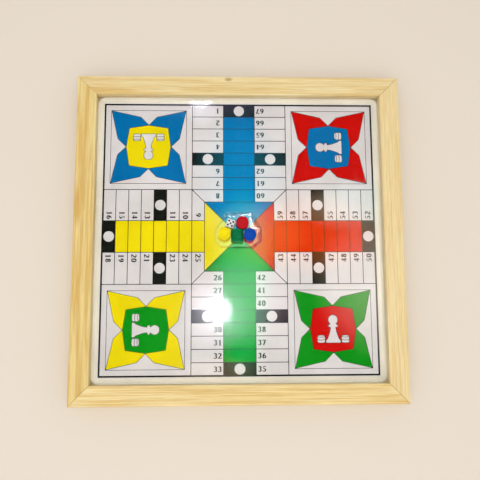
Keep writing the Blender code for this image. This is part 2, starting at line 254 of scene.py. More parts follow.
# A small knot in the back rail, and painted shade along a stretch of the left rail's outer edge
pine_knots_and_edge_shade = {
    "rail_back": ((-0.013, 0.196, 0.022), (0.0065, 0.0035, 0.0150), (0.38, 0.22, 0.08)),
    "rail_left": ((-0.196, 0.035, 0.022), (0.0050, 0.0300, 0.0150), (0.60, 0.34, 0.08)),
}
for number, (name, (tone, turn, contrast)) in enumerate(pine_tones.items()):
    material, tree, shader = new_material("Pine " + name, Coat_Weight=0.15, Coat_Roughness=0.25)
    place = object_place(tree)
    placed = add_node(tree, "Mapping", {"Vector": place})
    placed.inputs["Rotation"].default_value[2] = math.radians(-turn)
    placed.inputs["Location"].default_value = (number * RAIL_SHIFT, 0.0, number * RING_WIDTH / 3)
    made = place_group(
        tree, pine_grain, Vector=placed.outputs["Vector"], Early_Wood=(*tone, 1), Contrast=contrast
    )
    if name in pine_knots_and_edge_shade:
        middle, reach, dark = pine_knots_and_edge_shade[name]
        dark_patch = made["Colour"].node.inputs
        dark_patch["Dark Patch Wood"].default_value = (*dark, 1)
        # The dark patch is a real knot on the back rail and painted shade on the left rail's edge.
        mark = soft_spot(tree, place, middle, reach)
        tree.links.new(calculate(tree, "MULTIPLY", mark, DARK_PATCH_SHARE), dark_patch["Dark Patch"])
    dress(shader, tree, made, PINE_RELIEF)
    finish_node(name, material)

# Corner nails
# Two V nails of blue steel strip are pressed into the underside across each mitre. They are plain
# stampings with rolled faces, and have no coating.

STEEL_RELIEF = 0.00002


def make_steel_group():
    """Rolled and drawn steel: fine lines and slow clouds of tarnish."""
    group, given, sinks = new_group(
        "Drawn steel",
        [("Steel", "Color", (0.5, 0.5, 0.5, 1)), ("Tarnish", "Color", (0.2, 0.2, 0.2, 1))],
    )
    lines = noise_on(group, given["Vector"], (3000.0, 3000.0, 250.0), detail=2.0)
    clouds = noise_on(group, given["Vector"], (260.0, 260.0, 260.0), detail=3.0)
    dull = map_range(group, clouds, 0.45, 0.75, 0.0, 0.8)
    fill_outputs(
        group,
        sinks,
        Colour=mix_colours(group, dull, given["Steel"], given["Tarnish"]),
        Roughness=map_range(group, clouds, 0.3, 0.8, 0.28, 0.55),
        Height=lines,
    )
    return group


drawn_steel = make_steel_group()


def finish_in_steel(label, beginning, steel, tarnish):
    """Gives the nodes whose names begin alike a bare steel of one tone."""
    material, tree, shader = new_material(label, Metallic=1.0)
    place = object_place(tree)
    made = place_group(tree, drawn_steel, Vector=place, Steel=(*steel, 1), Tarnish=(*tarnish, 1))
    dress(shader, tree, made, STEEL_RELIEF)
    for name in sorted(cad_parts):
        if name.startswith(beginning):
            finish_node(name, material)


finish_in_steel("Nail steel", "corner_nail", (0.42, 0.44, 0.47), (0.20, 0.17, 0.14))

# Glass pane
# A 2 mm sheet of float glass with its edges just arrissed. It lies in the rebate against the lip,
# and carries faint wiping marks that spread the shine of the lamps.

GLASS_TINT = (0.97, 0.99, 0.975, 1.0)
SPECK_SHARE = 0.15


def let_shadow_through(material, tree):
    """Light passes straight through the clear piece, so that it throws no dark shadow."""
    output = tree.nodes["Material Output"]
    principled = tree.nodes["Principled BSDF"]
    clear = add_node(tree, "BsdfTransparent")
    shadow = add_node(tree, "LightPath").outputs["Is Shadow Ray"]
    mixed = add_node(tree, "MixShader", {0: shadow, 1: principled.outputs[0], 2: clear.outputs[0]})
    tree.links.new(mixed.outputs[0], output.inputs["Surface"])


material, tree, shader = new_material(
    "Float glass", Base_Color=GLASS_TINT, Transmission_Weight=1.0, IOR=1.52, Coat_Roughness=0.30
)
vector = object_place(tree)
wiped = noise_on(tree, vector, (60.0, 7.0, 60.0), detail=3.0, roughness=0.6)
specks = noise_on(tree, vector, (900.0, 900.0, 900.0), detail=1.0)
marks = calculate(tree, "ADD", wiped, calculate(tree, "MULTIPLY", specks, SPECK_SHARE))
tree.links.new(map_range(tree, marks, 0.40, 0.80, 0.02, 0.06), shader["Roughness"])
tree.links.new(map_range(tree, wiped, 0.30, 0.75, 0.01, 0.05), shader["Coat Weight"])
let_shadow_through(material, tree)
finish_node("glass_pane", material)

# Printed card
# A white card with round corners, printed in flat inks with the field of the cross-and-circle game:
# four arms of three columns, a middle in four triangles and a home in each corner. Its margin is
# painted lighter and warmer towards the rails: painted light that lifts the shade they cast on it.

CARD_CORNER = 0.0120
CORNER_STEPS = 10
PAINTED_MARGIN_LIGHT = (0.860, 0.760, 0.630)
MARGIN_LIGHT_INSIDE_LINE = 0.001
MARGIN_LIGHT_FULL_AT = 0.172
CARD_ROUGH = 0.62
INK_ROUGH = 0.45
INK_RELIEF = 0.00001
FIELD_HALF = 0.1672
MIDDLE_HALF = 0.0428
ROWS = 8
BLACK_ROW = 3
ROW = (FIELD_HALF - MIDDLE_HALF) / ROWS
ARM_HALF = MIDDLE_HALF + ROW
LANE_HALF = ARM_HALF / 3
HOME_MIDDLE = (ARM_HALF + FIELD_HALF) / 2
HOME_SQUARE = 0.0468
BORDER_LINE = 0.0021
LINE = 0.0009
THIN_LINE = 0.0006
SPOT_RADIUS = 0.0065
INK_STEP = 0.00002
INKS = {
    "paper": (0.690, 0.625, 0.625),
    "black": (0.007, 0.007, 0.005),
    "line": (0.020, 0.015, 0.013),
    "blue": (0.001, 0.148, 0.385),
    "yellow": (0.800, 0.630, 0.002),
    "red": (0.570, 0.003, 0.001),
    "green": (0.002, 0.260, 0.006),
}
ARM_INKS = ("green", "red", "blue", "yellow")
HOME_INKS = {
    (1, -1): ("green", "red"),
    (1, 1): ("red", "blue"),
    (-1, 1): ("blue", "yellow"),
    (-1, -1): ("yellow", "green"),
}

card_low, card_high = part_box("printed_card")


def add_primitive(add, name, **sizes):
    """Adds one of Blender's primitives with nothing else selected."""
    bpy.ops.object.select_all(action="DESELECT")
    add(**sizes)
    piece = bpy.context.object
    piece.name = name
    piece.data.name = name
    return piece


def edit(piece, mode):
    """Opens a piece in edit mode, with nothing selected."""
    bpy.context.view_layer.objects.active = piece
    bpy.ops.object.mode_set(mode="EDIT")
    bpy.ops.mesh.select_mode(type=mode)
    bpy.ops.mesh.select_all(action="DESELECT")


def select_parts(kind, wanted):
    """Selects the wanted faces or edges of the piece that is open in edit mode."""
    bpy.ops.mesh.select_all(action="DESELECT")
    mesh = bpy.context.edit_object.data
    shape = bmesh.from_edit_mesh(mesh)
    for part in getattr(shape, kind):
        if wanted(part):
            part.select_set(True)
    bmesh.update_edit_mesh(mesh)


def select_faces(wanted):
    """Selects the faces whose middle and normal are wanted."""
    select_parts("faces", lambda face: wanted(face.calc_center_median_weighted(), face.normal))


def select_edges(wanted):
    """Selects the edges whose two ends are wanted."""
    select_parts("edges", lambda edge: wanted(edge.verts[0].co, edge.verts[1].co))


def rule_line(wanted, place, normal, width):
    """Cuts the printed face along both sides of a ruled line."""
    normal = Vector(normal).normalized()
    for side in (-0.5, 0.5):
        select_faces(lambda middle, up: up.z > 0.5 and wanted(abs(middle.x), abs(middle.y)))
        point = normal * (place + side * width)
        bpy.ops.mesh.bisect(plane_co=point, plane_no=normal)


def in_middle(x, y):
    """Where the arms cross, with the line round it."""
    return x < ARM_HALF + LINE and y < ARM_HALF + LINE


def in_upright_arm(x, y):
    """In either arm along Y."""
    return x < ARM_HALF and MIDDLE_HALF < y < FIELD_HALF


def in_level_arm(x, y):
    """In either arm along X."""
    return in_upright_arm(y, x)


def in_home(x, y):
    """In any of the four homes."""
    return ARM_HALF < x < FIELD_HALF and ARM_HALF < y < FIELD_HALF


def ink_at(x, y):
    """Which ink the printed field has at a place."""
    far = max(abs(x), abs(y))
    near = min(abs(x), abs(y))
    if far > FIELD_HALF - BORDER_LINE / 2:
        return "paper" if far > FIELD_HALF + BORDER_LINE / 2 else "black"
    if near > ARM_HALF + LINE / 2:
        off_middle = max(abs(far - HOME_MIDDLE), abs(near - HOME_MIDDLE))
        return "line" if abs(off_middle - HOME_SQUARE) < THIN_LINE / 2 else "paper"
    on_diagonal = far < ARM_HALF + LINE / 2 and far - near < LINE / math.sqrt(2)
    if near > ARM_HALF - LINE / 2 or on_diagonal:
        return "line"
    if abs(y) > abs(x):
        arm_ink = ARM_INKS[2] if y > 0 else ARM_INKS[0]
    else:
        arm_ink = ARM_INKS[1] if x > 0 else ARM_INKS[3]
    if far < MIDDLE_HALF - LINE / 2:
        return arm_ink
    rows_out = (far - MIDDLE_HALF) / ROW
    on_row_line = abs(rows_out - round(rows_out)) * ROW < LINE / 2
    if on_row_line or abs(near - LANE_HALF) < LINE / 2:
        return "line"
    row = int(rows_out)
    if near < LANE_HALF:
        return "black" if row == ROWS - 1 else arm_ink
    return "black" if row == BLACK_ROW else "paper"


def make_ink_group():
    """Offset ink or bare card: faint fibres, a little mottle and a satin surface."""
    group, given, sinks = new_group(
        "Printed tone", [("Ink", "Color", (1, 1, 1, 1)), ("Rough", "Float", 0.5)]
    )
    fibres = noise_on(group, given["Vector"], (900.0, 1400.0, 900.0), detail=3.0, roughness=0.6)
    clouds = noise_on(group, given["Vector"], (24.0, 24.0, 24.0), detail=2.0)
    fibre_tone = map_range(group, fibres, 0.3, 0.7, 0.955, 1.02)
    cloud_tone = map_range(group, clouds, 0.3, 0.7, 0.94, 1.03)
    tone = calculate(group, "MULTIPLY", fibre_tone, cloud_tone)
    rough = calculate(group, "ADD", given["Rough"], calculate(group, "MULTIPLY", fibres, 0.15))
    fill_outputs(
        group, sinks, Colour=shaded(group, given["Ink"], tone), Roughness=rough, Height=fibres
    )
    return group


printed_tone = make_ink_group()
ink_materials = {}
for ink, colour in INKS.items():
    label, rough = ("Card", CARD_ROUGH) if ink == "paper" else ("Ink " + ink, INK_ROUGH)
    material, tree, shader = new_material(label, Specular_IOR_Level=0.04)
    place = object_place(tree)
    made = place_group(tree, printed_tone, Vector=place, Ink=(*colour, 1), Rough=rough)
    if ink == "paper":
        # Painted light: the margin is lighter and warmer towards the rails, lifting the shade they
        # cast.
        sides = add_node(tree, "SeparateXYZ", {"Vector": place}).outputs
        across, along = [calculate(tree, "ABSOLUTE", sides[axis]) for axis in "XY"]
        far = calculate(tree, "MAXIMUM", across, along)
        margin_light_share = map_range(tree, far, FIELD_HALF - MARGIN_LIGHT_INSIDE_LINE, MARGIN_LIGHT_FULL_AT, 0.0, 1.0)
        margin_lit = mix_colours(tree, margin_light_share, colour, PAINTED_MARGIN_LIGHT)
        tree.links.new(margin_lit, made["Colour"].node.inputs["Ink"])
    dress(shader, tree, made, INK_RELIEF)
    ink_materials[ink] = material

card_size = card_high - card_low
card = add_primitive(bpy.ops.mesh.primitive_cube_add, "game_card", size=1, scale=card_size)
card.location = (card_low + card_high) / 2
bpy.ops.object.transform_apply(location=True, rotation=True, scale=True)
edit(card, "EDGE")
select_edges(lambda a, b: abs(a.z - b.z) > card_size.z / 2)
bpy.ops.mesh.bevel(offset=CARD_CORNER, segments=CORNER_STEPS, affect="EDGES")
bpy.ops.mesh.select_mode(type="FACE")
across_and_along = [(axis, side) for axis in ((1, 0, 0), (0, 1, 0)) for side in (-1, 1)]
for axis, side in across_and_along:
    rule_line(lambda x, y: True, side * FIELD_HALF, axis, BORDER_LINE)
for axis, side in across_and_along:
    rule_line(lambda x, y: max(x, y) < FIELD_HALF, side * ARM_HALF, axis, LINE)
for axis, side in across_and_along:
    rule_line(in_middle, side * MIDDLE_HALF, axis, LINE)
    for edge in (HOME_MIDDLE - HOME_SQUARE, HOME_MIDDLE + HOME_SQUARE):
        rule_line(in_home, side * edge, axis, THIN_LINE)
for side in (-1, 1):
    rule_line(in_upright_arm, side * LANE_HALF, (1, 0, 0), LINE)
    rule_line(in_level_arm, side * LANE_HALF, (0, 1, 0), LINE)
    for row in range(2, ROWS):
        rule_line(in_upright_arm, side * (MIDDLE_HALF + row * ROW), (0, 1, 0), LINE)
        rule_line(in_level_arm, side * (MIDDLE_HALF + row * ROW), (1, 0, 0), LINE)
    rule_line(in_middle, 0, (1, side, 0), LINE)
bpy.ops.object.mode_set(mode="OBJECT")
for ink in INKS:
    card.data.materials.append(ink_materials[ink])
ink_order = list(INKS)
for face in card.data.polygons:
    if face.normal.z > 0.5:
        face.material_index = ink_order.index(ink_at(face.center.x, face.center.y))
printed = [card]


def add_loop(name, points, fill):
    """A loop through the points, filled as one face or left open."""
    circle_add = bpy.ops.mesh.primitive_circle_add
    loop = add_primitive(circle_add, name, vertices=len(points), fill_type=fill)
    for vertex, point in zip(loop.data.vertices, points):
        vertex.co = point
    return loop


def add_patch(outline, layer, ink, rim=None):
    """A flat patch of ink on the card, with a thin line round it if it has one."""
    height = card_high.z + layer * INK_STEP
    patch = add_loop("patch", [(x, y, height) for x, y in outline], "NGON")
    patch.data.materials.append(ink_materials[rim or ink])
    if rim:
        patch.data.materials.append(ink_materials[ink])
        edit(patch, "FACE")
        bpy.ops.mesh.select_all(action="SELECT")
        bpy.ops.mesh.inset(thickness=THIN_LINE)
        patch.active_material_index = 1
        bpy.ops.object.material_slot_assign()
        bpy.ops.object.mode_set(mode="OBJECT")
    printed.append(patch)


OVAL_STEPS = 24


def oval(x, y, across, up, start=0, end=360, steps=OVAL_STEPS):
    """Points on an oval, or on a part of it, with the angles in degrees."""
    angles = [math.radians(start + (end - start) * i / steps) for i in range(steps + 1)]
    points = [(x + across * math.cos(a), y + up * math.sin(a)) for a in angles]
    return points[:-1] if abs(end - start) == 360 else points


def moved(points, across, up):
    """Points moved across and up."""
    return [(x + across, y + up) for x, y in points]


def turned(points, turn):
    """Points turned by quarter turns about the origin."""
    spin = Matrix.Rotation(math.radians(90 * turn), 2)
    return [(spin @ Vector(point))[:] for point in points]


def all_round(quarter):
    """An outline of four quarters, each turned on from the one before."""
    return [point for turn in range(4) for point in turned(quarter, turn)]


# White spots: one in the outer lane square and two in the black row of each arm
spot = oval(0, 0, SPOT_RADIUS, SPOT_RADIUS, steps=32)
outer_row = FIELD_HALF - ROW / 2
black_row = MIDDLE_HALF + (BLACK_ROW + 0.5) * ROW
column = (LANE_HALF + ARM_HALF) / 2
for turn in range(4):
    for x, y in ((0, -outer_row), (-column, -black_row), (column, -black_row)):
        add_patch(turned(moved(spot, x, y), turn), 1, "paper")

# Homes: a four-pointed star, and in it a square field with its sides bowed out. Each is given by
# its first quarter, from the right
STAR_QUARTER = [(0.0284, 0), (0.0386, 0.0100), (0.0468, 0.0468), (0.0100, 0.0386)]
PILLOW_QUARTER = [(0.0280, 0), (0.0243, 0.0243)]
# In each home a white peg stands between two small stacks of counters. Shares are of its height
MOTIF_HEIGHT = 0.034
PEG_SIDE_SHARES = [
    (0.27, 0.0),
    (0.27, 0.10),
    (0.21, 0.16),
    (0.13, 0.38),
    (0.10, 0.54),
    (0.18, 0.57),
    (0.18, 0.635),
]
PEG_HEAD_SHARES = (0.82, 0.18)
PEG_HEAD_ARC = (-52, 232)
PEG_HEAD_STEPS = 18
STACK_PLACE_SHARE = 0.43
STACK_SHARES = (0.145, 0.045, 0.100)
HALF_OVAL_STEPS = 12


def peg_outline():
    """A playing peg seen from the side, from its base up one side, over its head and down."""
    middle, radius = PEG_HEAD_SHARES
    head = oval(0, middle, radius, radius, *PEG_HEAD_ARC, PEG_HEAD_STEPS)
    return PEG_SIDE_SHARES + head + [(-x, y) for x, y in reversed(PEG_SIDE_SHARES)]


def counter_outline(x, y):
    """A counter seen at a slant: straight edges between two half ovals."""
    across, up, deep = STACK_SHARES
    bottom = oval(x, y, across, up, 180, 360, HALF_OVAL_STEPS)
    return bottom + oval(x, y + deep, across, up, 0, 180, HALF_OVAL_STEPS)


def add_motif(shape, home, turn, layer):
    """Draws one shape of the motif in a home."""
    centred = [(x * MOTIF_HEIGHT, (y - 0.5) * MOTIF_HEIGHT) for x, y in shape]
    add_patch(moved(turned(centred, turn), *home), layer, "paper", "line")


for turn, ((side_x, side_y), (star_ink, field_ink)) in enumerate(HOME_INKS.items()):
    home = (side_x * HOME_MIDDLE, side_y * HOME_MIDDLE)
    add_patch(moved(all_round(STAR_QUARTER), *home), 1, star_ink, "line")
    add_patch(moved(all_round(PILLOW_QUARTER), *home), 2, field_ink, "line")
    across, up, deep = STACK_SHARES
    for stack_side in (-1, 1):
        for level in range(2):
            place = (stack_side * STACK_PLACE_SHARE, up + level * deep)
            add_motif(counter_outline(*place), home, turn, 3 + level)
        top = oval(stack_side * STACK_PLACE_SHARE, up + 2 * deep, across, up)
        add_motif(top, home, turn, 5)
    add_motif(peg_outline(), home, turn, 6)

# Square numbers, in bold figures with thick uprights and thin level strokes, as a broad pen leaves
# them. Shares are of the height of a figure. A pen has its breadth and its height
FIGURE_HEIGHT = 0.0067
FIGURE_SPREAD = 1.12
FIGURE_STEP_SHARE = 0.70
NUMBER_OFF_LANE = 0.0071
NUMBERS_ROUND = 68
NUMBERS_PER_ARM = 17
CURVE_PEN = (0.23, 0.10)
STEM_PEN = (0.22, 0)
BAR_PEN = (0, 0.14)
HAIR_PEN = (0.09, 0.06)
FIGURE_SHARES = {
    "0": [(oval(0, 0.50, 0.20, 0.46), CURVE_PEN)],
    "1": [
        ([(0.02, 0.02), (0.02, 0.98)], STEM_PEN),
        ([(-0.17, 0.80), (0.02, 0.94)], HAIR_PEN),
        ([(-0.18, 0.04), (0.22, 0.04)], (0, 0.07)),
    ],
    "2": [
        (oval(-0.01, 0.71, 0.18, 0.25, 165, -38, 12) + [(-0.21, 0.10)], CURVE_PEN),
        ([(-0.28, 0.08), (0.27, 0.08)], BAR_PEN),
        ([(0.23, 0.10), (0.26, 0.25)], (0.06, 0)),
    ],
    "3": [
        (oval(-0.02, 0.745, 0.155, 0.22, 160, -75, 12), CURVE_PEN),
        (oval(-0.04, 0.285, 0.195, 0.25, 75, -155, 12), CURVE_PEN),
    ],
    "4": [
        ([(0.08, 0.02), (0.08, 0.98)], STEM_PEN),
        ([(0.06, 0.95), (-0.27, 0.32)], HAIR_PEN),
        ([(-0.31, 0.28), (0.28, 0.28)], BAR_PEN),
    ],
    "5": [
        ([(-0.15, 0.90), (0.24, 0.90)], BAR_PEN),
        ([(-0.14, 0.90), (-0.18, 0.55)], HAIR_PEN),
        (oval(-0.05, 0.31, 0.195, 0.27, 120, -155, 14), CURVE_PEN),
    ],
    "6": [
        (oval(0.0, 0.31, 0.19, 0.27), CURVE_PEN),
        (oval(0.26, 0.34, 0.45, 0.61, 180, 105, 8), CURVE_PEN),
    ],
    "7": [
        ([(-0.25, 0.90), (0.27, 0.90)], BAR_PEN),
        ([(-0.24, 0.88), (-0.25, 0.72)], (0.06, 0)),
        ([(0.17, 0.86), (-0.09, 0.02)], STEM_PEN),
    ],
    "8": [
        (oval(0, 0.745, 0.150, 0.215), CURVE_PEN),
        (oval(0, 0.275, 0.185, 0.235), CURVE_PEN),
    ],
    "9": [
        (oval(0.0, 0.69, 0.19, 0.27), CURVE_PEN),
        (oval(-0.26, 0.66, 0.45, 0.61, 0, -75, 8), CURVE_PEN),
    ],
}


def select_only(pieces):
    """Selects these pieces and nothing else, with the first of them active."""
    bpy.ops.object.select_all(action="DESELECT")
    for piece in pieces:
        piece.select_set(True)
    bpy.context.view_layer.objects.active = pieces[0]


def join_pieces(pieces):
    """Joins pieces into the first of them."""
    select_only(pieces)
    bpy.ops.object.join()
    return pieces[0]


def add_stroke(points, nib):
    """Draws a line through the points and sweeps it along the nib. A whole oval stays closed."""
    if len(points) == 2:
        start, end = points
        points = [start, ((start[0] + end[0]) / 2, (start[1] + end[1]) / 2), end]
    corners = [(x - nib[0] / 2, y - nib[1] / 2, 0) for x, y in points]
    stroke = add_loop("stroke", corners, "NOTHING")
    ends = [stroke.data.vertices[i].co.copy() for i in (0, -1)]
    edit(stroke, "EDGE")
    if len(points) != OVAL_STEPS:
        select_edges(lambda a, b: {a[:], b[:]} == {end[:] for end in ends})
        bpy.ops.mesh.delete(type="EDGE_FACE")
    bpy.ops.mesh.select_all(action="SELECT")
    bpy.ops.mesh.extrude_edges_move(TRANSFORM_OT_translate={"value": (nib[0], nib[1], 0)})
    bpy.ops.mesh.select_mode(type="FACE")
    select_faces(lambda middle, up: up.z < 0)
    bpy.ops.mesh.flip_normals()
    bpy.ops.object.mode_set(mode="OBJECT")
    return stroke


def draw_figure(strokes):
    """One figure, one unit high, that stands on the origin."""
    nibs = [(points, nib) for points, (x, y) in strokes for nib in ((x, 0), (0, y)) if any(nib)]
    figure = join_pieces([add_stroke(points, nib) for points, nib in nibs])
    figure.data.materials.append(ink_materials["black"])
    return figure


figures = {name: draw_figure(strokes) for name, strokes in FIGURE_SHARES.items()}


def write_number(number, x, y, turn):
    """Copies a number's figures to their place, for the player at that arm."""
    text = str(number)
    for index, name in enumerate(text):
        aside = (index - (len(text) - 1) / 2) * FIGURE_STEP_SHARE
        figure = bpy.data.objects.new("figure", figures[name].data.copy())
        bpy.context.collection.objects.link(figure)
        figure.data.transform(
            Matrix.Rotation(math.radians(90 * turn), 4, "Z")
            @ Matrix.Translation((x, y, card_high.z + 2 * INK_STEP))
            @ Matrix.Diagonal((FIGURE_HEIGHT * FIGURE_SPREAD, FIGURE_HEIGHT, FIGURE_HEIGHT, 1.0))
            @ Matrix.Translation((aside, -0.5, 0))
        )
        printed.append(figure)


for turn in range(4):
    middle_number = NUMBERS_PER_ARM * (turn + 2)
    for row in range(ROWS):
        if row == ROWS - 1 - BLACK_ROW:
            continue
        y = -(FIELD_HALF - (row + 0.5) * ROW)
        for side in (-1, 1):
            number = (middle_number + side * (row + 1) - 1) % NUMBERS_ROUND + 1
            write_number(number, side * (LANE_HALF + NUMBER_OFF_LANE), y, turn)
for figure in figures.values():
    bpy.data.objects.remove(figure)

# The inks are laid on as one sheet each, so the finished print is parted by its inks
join_pieces(printed)
bpy.ops.object.mode_set(mode="EDIT")
bpy.ops.mesh.select_all(action="SELECT")
bpy.ops.mesh.separate(type="MATERIAL")
bpy.ops.object.mode_set(mode="OBJECT")
for sheet in bpy.context.selected_objects:
    used = sheet.material_slots[sheet.data.polygons[0].material_index].material
    ink = next(name for name, made in ink_materials.items() if made == used)
    sheet.name = "game_card" if ink == "paper" else "ink_" + ink
    sheet.data.materials.clear()
    sheet.data.materials.append(used)
    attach(sheet, "board")
    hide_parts("printed_card")

# Backing board
# A sheet of 3 mm fibreboard, smooth and pale, with short darker fibres pressed into it. It closes
# the back, and shows from above in the four corners that the card's round corners leave open.

BOARD_COLOUR = (0.64, 0.50, 0.32)
BOARD_FIBRES = (0.50, 0.37, 0.21)
BOARD_CLOUDS = (0.70, 0.57, 0.39)
BOARD_FLECKS = (0.30, 0.19, 0.09)
BOARD_RELIEF = 0.00008

material, tree, shader = new_material("Fibreboard")
vector = object_place(tree)
fibres = noise_on(tree, vector, (260.0, 900.0, 700.0), detail=4.0, roughness=0.65)
flecks = noise_on(tree, vector, (1500.0, 500.0, 700.0), detail=2.0)
clouds = noise_on(tree, vector, (18.0, 18.0, 18.0), detail=2.0)
board = mix_colours(tree, map_range(tree, fibres, 0.35, 0.70, 0.0, 1.0), BOARD_COLOUR, BOARD_FIBRES)
board = mix_colours(tree, map_range(tree, clouds, 0.35, 0.70, 0.0, 0.35), board, BOARD_CLOUDS)
board = mix_colours(tree, map_range(tree, flecks, 0.62, 0.78, 0.0, 0.6), board, BOARD_FLECKS)
tree.links.new(board, shader["Base Color"])
tree.links.new(map_range(tree, fibres, 0.3, 0.7, 0.50, 0.72), shader["Roughness"])
add_relief(shader, tree, fibres, BOARD_RELIEF)
finish_node("backing_board", material)

# Backing brads
# Short bright brads driven sideways into the rebate. Their heads stand over the edge of the backing
# board and hold it, the card and the glass up against the lip.

finish_in_steel("Brad steel", "backing_brad", (0.62, 0.62, 0.63), (0.33, 0.28, 0.22))

# Film bag
# A small bag of clear polythene film, slit open and pushed down round the pieces. Its floor lies
# flat on the glass, its creased walls sink towards the left end, and its rim is folded inwards.

BAG_DEPTH = 0.0090
FILM_THICKNESS = 0.00006
FILM_RELIEF = 0.00002
FILM_SMOOTH = math.radians(22)
FILM_CREASE = 0.0021
FILM_CELLS = 150.0
CREASE_RISE = 3.0
FLOOR_CREASE = 0.00016
FLOOR_CELLS = 240.0
WALL_RINGS = 12
FLOOR_RINGS = 12
STEPS_PER_SIDE = 9
RING_TOLERANCE = 1e-5
RIM_DROP_SHARE = 0.30
WAVE_CELLS = 95.0
RIPPLE_CELLS = 260.0
RIPPLE_SHARE = 0.6
SAG_MIDDLE = 0.5
SAG_SPREAD = 0.75
SUNK_SHARE = 0.55
SUNK_FROM = 0.30
SUNK_RISE = 2.0
LIP_RINGS = 5
LIP_WIDTH = 0.0120
LIP_GAP = 0.0010
LIP_PROBE = LIP_GAP / 4
LIP_LOST_SHARE = 0.9
LIP_FALL = 2.5
LIP_HEIGHT = 0.0045
LIP_SLOPE_X = 0.034
LIP_SLOPE_Y = 0.088
LIP_CREASE = 0.00012
TAUT_FROM = 0.0060
TAUT_OVER = 0.0080
FILM_SHIFT = Vector((3.7, 1.9, 0.4))

bag_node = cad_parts["film_pouch"]
bag_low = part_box("film_pouch")[0]


def ring_of(height):
    """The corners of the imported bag's outer wall at a height, in order round its middle."""
    points = [vertex.co for vertex in bag_node.data.vertices]
    level = [point for point in points if abs(point.z - height) < RING_TOLERANCE]
    rounded = {tuple(round(value, 6) for value in point) for point in level}
    corners = [Vector(point) for point in sorted(rounded)]
    middle = sum(corners, Vector()) / len(corners)
    return sorted(corners, key=lambda p: math.atan2(p.y - middle.y, p.x - middle.x))


def subdivide_ring(corners):
    """Evenly spaced points along each side of a ring."""
    points = []
    for start, end in zip(corners, corners[1:] + corners[:1]):
        points += [start.lerp(end, i / STEPS_PER_SIDE) for i in range(STEPS_PER_SIDE)]
    return points


floor_ring = subdivide_ring(ring_of(bag_low.z))
rim_ring = subdivide_ring(ring_of(bag_low.z + BAG_DEPTH))
bag_middle = sum(floor_ring, Vector()) / len(floor_ring)
bag = add_loop("film_bag", floor_ring, "NOTHING")
edit(bag, "EDGE")
select_edges(lambda a, b: True)
for ring in range(WALL_RINGS + LIP_RINGS):
    bpy.ops.mesh.extrude_edges_move(TRANSFORM_OT_translate={"value": (0, 0, 1.0)})
select_edges(lambda a, b: max(a.z, b.z) < bag_low.z + 0.5)
for ring in range(FLOOR_RINGS, 1, -1):
    bpy.ops.mesh.extrude_edges_move()
    shrink = (ring - 1) / ring
    bpy.ops.transform.resize(value=(shrink, shrink, 1.0), center_override=bag_middle)
bpy.ops.mesh.edge_face_add()
bpy.ops.mesh.poke()
bpy.ops.object.mode_set(mode="OBJECT")


def within(share):
    """Holds a share between 0 and 1."""
    return min(1.0, max(0.0, share))


def crumple(point, cells):
    """How far a crease lies in, from 0 to 1: ridges between flat facets."""
    nearest = noise.voronoi(point * cells + FILM_SHIFT)[0]
    return within(nearest[1] - nearest[0])


def sunk(point):
    """How far the bag has sunk down at a point, up to 1 at its left end."""
    aside = (bag_middle.x - point.x) / (bag_middle.x - bag_low.x)
    return within((aside - SUNK_FROM) * SUNK_RISE)


def free_width(place, inward):
    """How far the folded lip can reach inwards before it comes near a piece in the bag."""
    width = LIP_GAP
    while width < LIP_WIDTH:
        ahead = place + inward * (width + LIP_GAP)
        if any(low.x < ahead.x < high.x and low.y < ahead.y < high.y for low, high in bagged):
            return width - LIP_GAP
        width += LIP_PROBE
    return LIP_WIDTH


def wall_point(place, up):
    """A point of the creased wall, from 0 at its foot to 1 at its rim, and the way inwards."""
    foot = floor_ring[place]
    around = Vector((foot.x, foot.y, 0))
    ripple = RIPPLE_SHARE * noise.noise(around * RIPPLE_CELLS)
    sag = noise.noise(around * WAVE_CELLS + FILM_SHIFT) + ripple
    drop = RIM_DROP_SHARE * within(SAG_MIDDLE + SAG_SPREAD * sag)
    wall = foot.lerp(rim_ring[place], up * (1.0 - drop - SUNK_SHARE * sunk(foot)))
    inward = ((bag_middle - wall) * Vector((1, 1, 0))).normalized()
    crease = inward * crumple(wall, FILM_CELLS) * FILM_CREASE * within(CREASE_RISE * up)
    return wall + crease, inward


def lip_height(point):
    """How high the folded lip lies at a point: an even slope that is creased on its left part."""
    aside = point - bag_middle
    height = bag_low.z + LIP_HEIGHT + LIP_SLOPE_Y * abs(aside.y) + LIP_SLOPE_X * aside.x
    creased = 1.0 - within((aside.x - TAUT_FROM) / TAUT_OVER)
    return height + LIP_CREASE * crumple(point, FILM_CELLS) * creased


def apply_modifier(piece, kind, **settings):
    """Adds a modifier with these settings and applies it."""
    modifier = piece.modifiers.new(kind.lower(), kind)
    for name, value in settings.items():
        setattr(modifier, name, value)
    bpy.ops.object.modifier_apply(modifier=modifier.name)


bagged = [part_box(name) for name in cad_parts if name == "die" or "_counter_" in name]
count = len(floor_ring)
for vertex in bag.data.vertices:
    level = round(vertex.co.z - bag_low.z)
    if not level:
        vertex.co.z += FILM_THICKNESS + FLOOR_CREASE * crumple(vertex.co, FLOOR_CELLS)
        continue
    place = min(range(count), key=lambda i: (vertex.co.xy - floor_ring[i].xy).length)
    point, inward = wall_point(place, within(level / WALL_RINGS))
    folded = max(0, level - WALL_RINGS) / LIP_RINGS
    if folded:
        point += inward * folded * free_width(point, inward) * (1.0 - LIP_LOST_SHARE * sunk(point))
        gap = lip_height(point) - point.z
        point.z += gap * within(LIP_FALL * folded) * (1.0 - sunk(point))
    vertex.co = point
edit(bag, "FACE")
bpy.ops.mesh.select_all(action="SELECT")
bpy.ops.mesh.normals_make_consistent(inside=False)
bpy.ops.object.mode_set(mode="OBJECT")
apply_modifier(bag, "SOLIDIFY", thickness=FILM_THICKNESS, offset=0)
bpy.ops.object.shade_smooth_by_angle(angle=FILM_SMOOTH)

